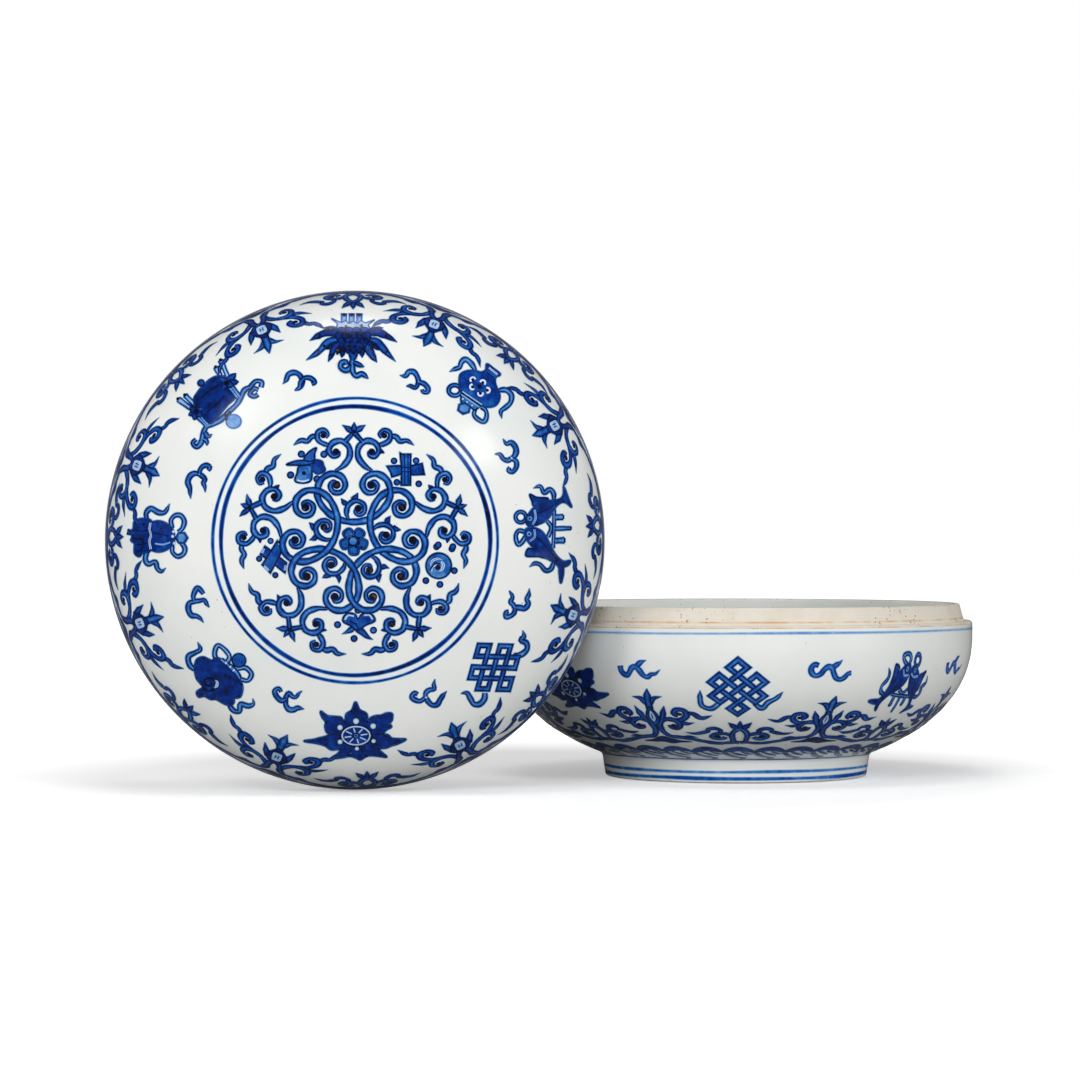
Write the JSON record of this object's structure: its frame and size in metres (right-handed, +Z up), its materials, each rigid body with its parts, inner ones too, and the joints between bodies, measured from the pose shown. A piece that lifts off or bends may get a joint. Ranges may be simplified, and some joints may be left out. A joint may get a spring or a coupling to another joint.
{
  "type": "round lidded porcelain box",
  "caption": "Round blue and white porcelain box: a footed bowl with a raised flange, and its domed lid stood on edge in front of it. It holds small keepsakes, sweets or powders.",
  "frame": {"origin": "on the table, under the middle of the pair's bounding box", "axes": "+Z up, +X from the lid towards the bowl, -Y the way the lid's dome faces"},
  "size_m": [0.4336, 0.279, 0.24],
  "materials": {
    "glaze": "gloss",
    "cobalt": "gloss",
    "biscuit": "matte"
  },
  "bodies": {
    "bowl": {"footed_bowl": "glaze"},
    "lid": {"domed_lid": "glaze"}
  },
  "joints": [
    {"name": "lid_lift", "type": "slide", "parent": "bowl", "child": "lid", "axis": [0, 0, 1], "range_m": [0, 0.12]}
  ]
}
